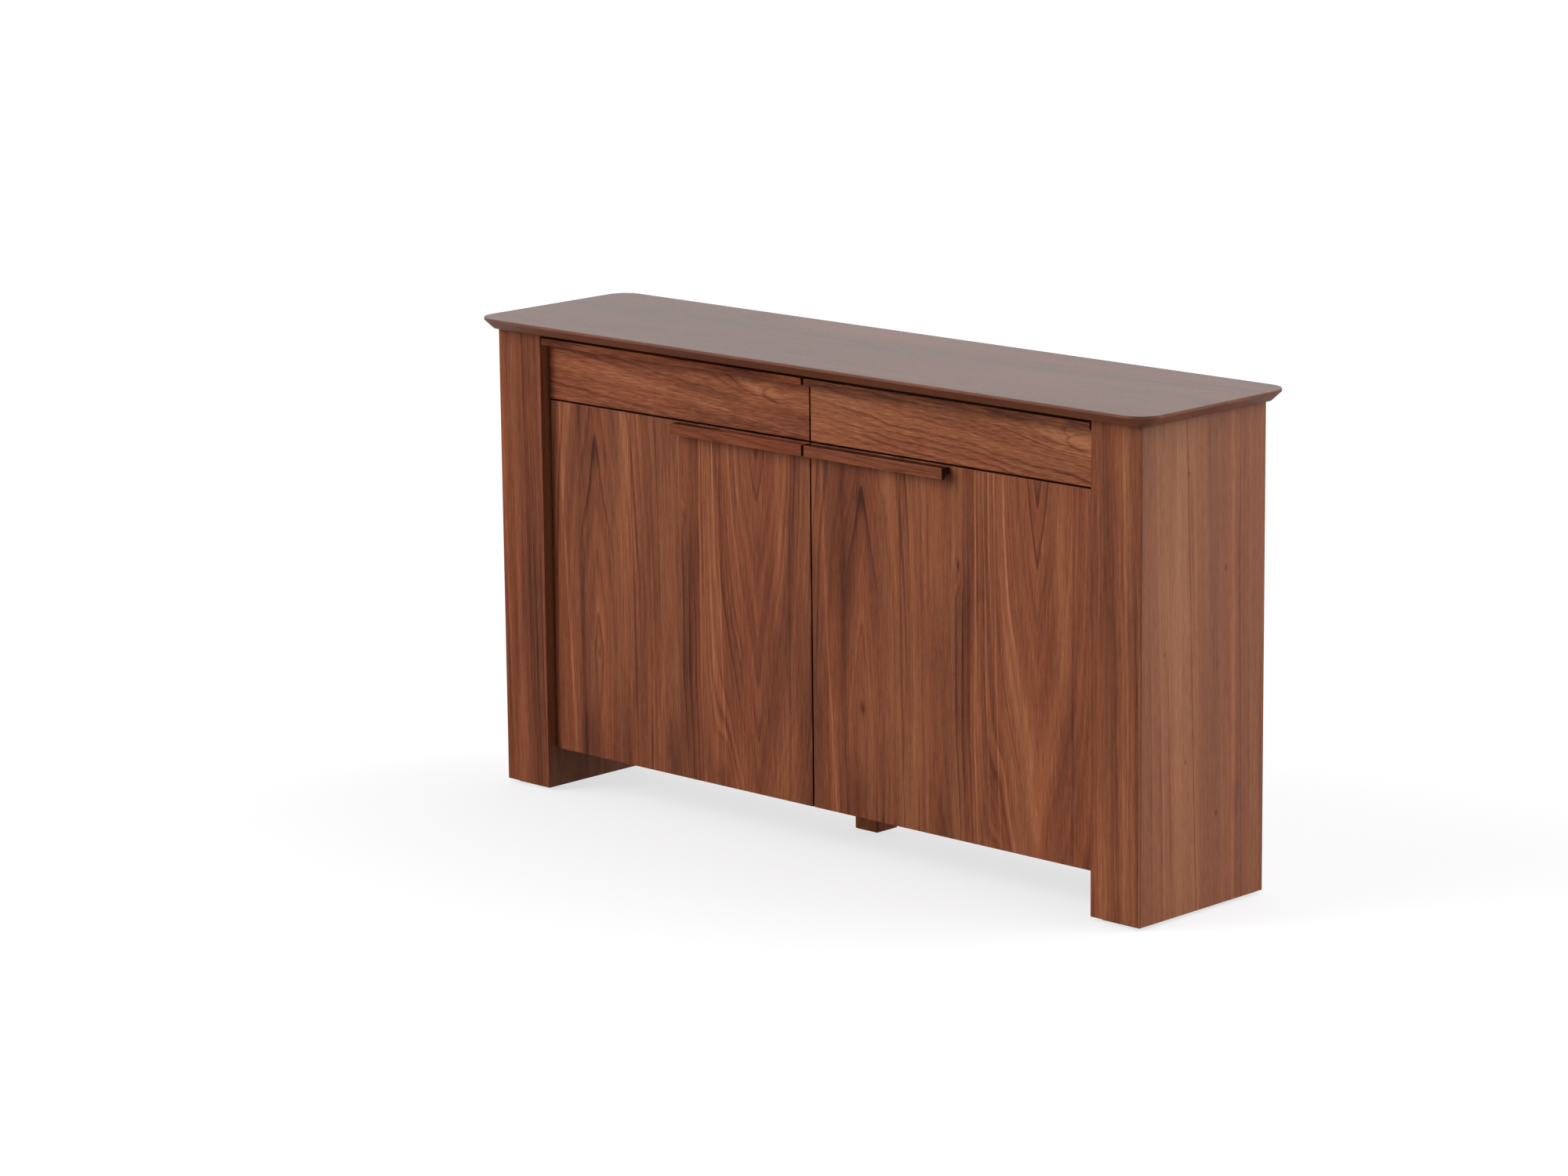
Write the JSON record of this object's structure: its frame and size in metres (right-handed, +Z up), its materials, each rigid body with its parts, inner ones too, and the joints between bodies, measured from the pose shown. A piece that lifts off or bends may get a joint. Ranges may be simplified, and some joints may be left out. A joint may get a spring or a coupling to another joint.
{
  "type": "console table",
  "caption": "Low walnut console cabinet: bevelled top with rounded corners, thick side panels as legs, drawers over recessed doors with strip pulls, shelves inside.",
  "frame": {"origin": "on the floor, under the middle of the top's outline", "axes": "+X along the length, to the right seen from the front; +Y from the fronts to the back; +Z up"},
  "size_m": [1.456, 0.35, 0.8],
  "materials": {
    "top_walnut": "satin lacquered walnut veneer",
    "side_walnut": "satin lacquered walnut veneer, upright grain",
    "door_walnut": "satin lacquered walnut veneer, upright grain",
    "drawer_walnut": "satin lacquered walnut veneer, grain across",
    "pull_walnut": "satin lacquered solid walnut",
    "leg_walnut": "satin lacquered solid walnut",
    "back_walnut": "satin lacquered walnut veneer",
    "carcass_walnut": "satin lacquered walnut veneer, plainer figure",
    "drawer_birch": "clear lacquered birch plywood",
    "core_board": "raw particle board",
    "zinc_steel": "zinc plated",
    "hinge_steel": "nickel plated",
    "felt": "dark felt",
    "nylon": "dark moulded nylon"
  },
  "bodies": {
    "cabinet": {"top_panel": "top_walnut", "bottom_panel": "carcass_walnut", "drawer_deck": "carcass_walnut", "lower_divider": "carcass_walnut", "upper_divider": "carcass_walnut", "front_top_rail": "carcass_walnut", "rear_top_rail": "carcass_walnut", "back_panel": "back_walnut", "centre_leg": "leg_walnut", "left_side_outer_panel": "side_walnut", "left_side_inner_panel": "side_walnut", "left_side_front_board": "side_walnut", "left_side_rear_board": "side_walnut", "left_side_core": "core_board", "left_floor_pad": "felt", "left_shelf": "carcass_walnut", "left_shelf_inner_wire": "zinc_steel", "left_shelf_outer_wire": "zinc_steel", "left_lower_hinge_arm": "hinge_steel", "left_upper_hinge_arm": "hinge_steel", "left_drawer_inner_cabinet_rail": "zinc_steel", "left_drawer_outer_cabinet_rail": "zinc_steel", "right_side_outer_panel": "side_walnut", "right_side_inner_panel": "side_walnut", "right_side_front_board": "side_walnut", "right_side_rear_board": "side_walnut", "right_side_core": "core_board", "right_floor_pad": "felt", "right_shelf": "carcass_walnut", "right_shelf_inner_wire": "zinc_steel", "right_shelf_outer_wire": "zinc_steel", "right_lower_hinge_arm": "hinge_steel", "right_upper_hinge_arm": "hinge_steel", "right_drawer_inner_cabinet_rail": "zinc_steel", "right_drawer_outer_cabinet_rail": "zinc_steel"},
    "left_door": {"left_door": "door_walnut", "left_door_pull": "pull_walnut", "left_lower_hinge_cup": "hinge_steel", "left_upper_hinge_cup": "hinge_steel"},
    "right_door": {"right_door": "door_walnut", "right_door_pull": "pull_walnut", "right_lower_hinge_cup": "hinge_steel", "right_upper_hinge_cup": "hinge_steel"},
    "left_drawer": {"left_drawer_front": "drawer_walnut", "left_drawer_pull": "pull_walnut", "left_drawer_inner_side": "drawer_birch", "left_drawer_outer_side": "drawer_birch", "left_drawer_back": "drawer_birch", "left_drawer_tray": "drawer_birch", "left_drawer_inner_drawer_rail": "zinc_steel", "left_drawer_outer_drawer_rail": "zinc_steel"},
    "right_drawer": {"right_drawer_front": "drawer_walnut", "right_drawer_pull": "pull_walnut", "right_drawer_inner_side": "drawer_birch", "right_drawer_outer_side": "drawer_birch", "right_drawer_back": "drawer_birch", "right_drawer_tray": "drawer_birch", "right_drawer_inner_drawer_rail": "zinc_steel", "right_drawer_outer_drawer_rail": "zinc_steel"},
    "centre_glide": {"centre_glide": "nylon"}
  },
  "joints": [
    {"name": "left_door_hinge", "type": "hinge", "parent": "cabinet", "child": "left_door", "pos_m": [-0.5895, -0.1235, 0.37], "axis": [0, 0, -1], "range_deg": [0, 95]},
    {"name": "right_door_hinge", "type": "hinge", "parent": "cabinet", "child": "right_door", "pos_m": [0.5895, -0.1235, 0.37], "axis": [0, 0, 1], "range_deg": [0, 95]},
    {"name": "left_drawer_slide", "type": "slide", "parent": "cabinet", "child": "left_drawer", "axis": [0, -1, 0], "range_m": [0, 0.16]},
    {"name": "right_drawer_slide", "type": "slide", "parent": "cabinet", "child": "right_drawer", "axis": [0, -1, 0], "range_m": [0, 0.16]},
    {"name": "centre_glide_screw", "type": "slide", "parent": "cabinet", "child": "centre_glide", "axis": [0, 0, -1], "range_m": [0, 0.0075]}
  ]
}
